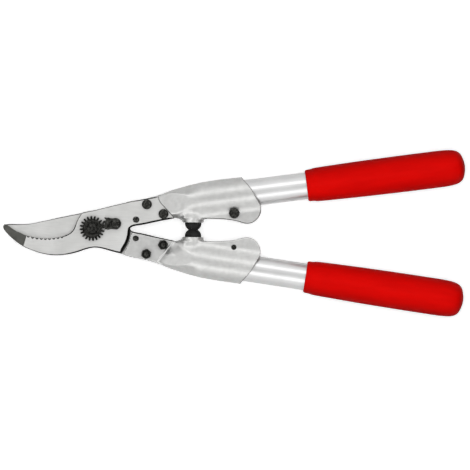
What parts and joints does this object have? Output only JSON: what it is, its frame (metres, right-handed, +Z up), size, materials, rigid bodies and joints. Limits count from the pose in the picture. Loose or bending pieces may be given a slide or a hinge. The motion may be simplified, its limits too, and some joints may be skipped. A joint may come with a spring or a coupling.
{
  "type": "bypass lopper",
  "caption": "Compact two-hand bypass lopper: hooked counter blade, cutting blade, cast alloy arms, round tube handles with red grips and rubber stops",
  "frame": {"origin": "centre of the footprint of the closed tool lying flat, on the surface that it lies on", "axes": "+X from the jaws to the handles along the tool's axis of symmetry, +Y to the arm that carries the counter blade, +Z up, square to the flat of the blades"},
  "size_m": [0.3982, 0.1438, 0.0322],
  "materials": {
    "blade_steel": "ground and satin brushed, fine grain",
    "cast_alloy": "satin vibratory finished forging",
    "tube_alloy": "drawn, clear anodised, satin",
    "grip_red": "smooth glossy red soft vinyl",
    "bumper_rubber": "matt black moulded rubber",
    "black_fastener": "black oxide steel, lightly oiled"
  },
  "bodies": {
    "counter_blade_arm": {"counter_blade": "blade_steel", "upper_casting": "cast_alloy", "upper_tube": "tube_alloy", "upper_grip": "grip_red", "upper_bumper": "bumper_rubber", "upper_bolt_front": "black_fastener", "upper_bolt_rear": "black_fastener", "upper_nut_front": "black_fastener", "upper_nut_rear": "black_fastener", "upper_locating_pin": "black_fastener", "upper_clamp_screw": "black_fastener", "pivot_bolt": "black_fastener", "pivot_nut": "black_fastener", "locking_segment": "black_fastener", "segment_screw": "black_fastener"},
    "cutting_blade_arm": {"cutting_blade": "blade_steel", "lower_casting": "cast_alloy", "lower_tube": "tube_alloy", "lower_grip": "grip_red", "lower_bumper": "bumper_rubber", "lower_bolt_front": "black_fastener", "lower_bolt_rear": "black_fastener", "lower_nut_front": "black_fastener", "lower_nut_rear": "black_fastener", "lower_locating_pin": "black_fastener", "lower_clamp_screw": "black_fastener"}
  },
  "joints": [
    {"name": "jaw_pivot", "type": "hinge", "parent": "counter_blade_arm", "child": "cutting_blade_arm", "pos_m": [-0.12211, 0, 0.0161], "axis": [0, 0, -1], "range_deg": [0, 80]}
  ]
}
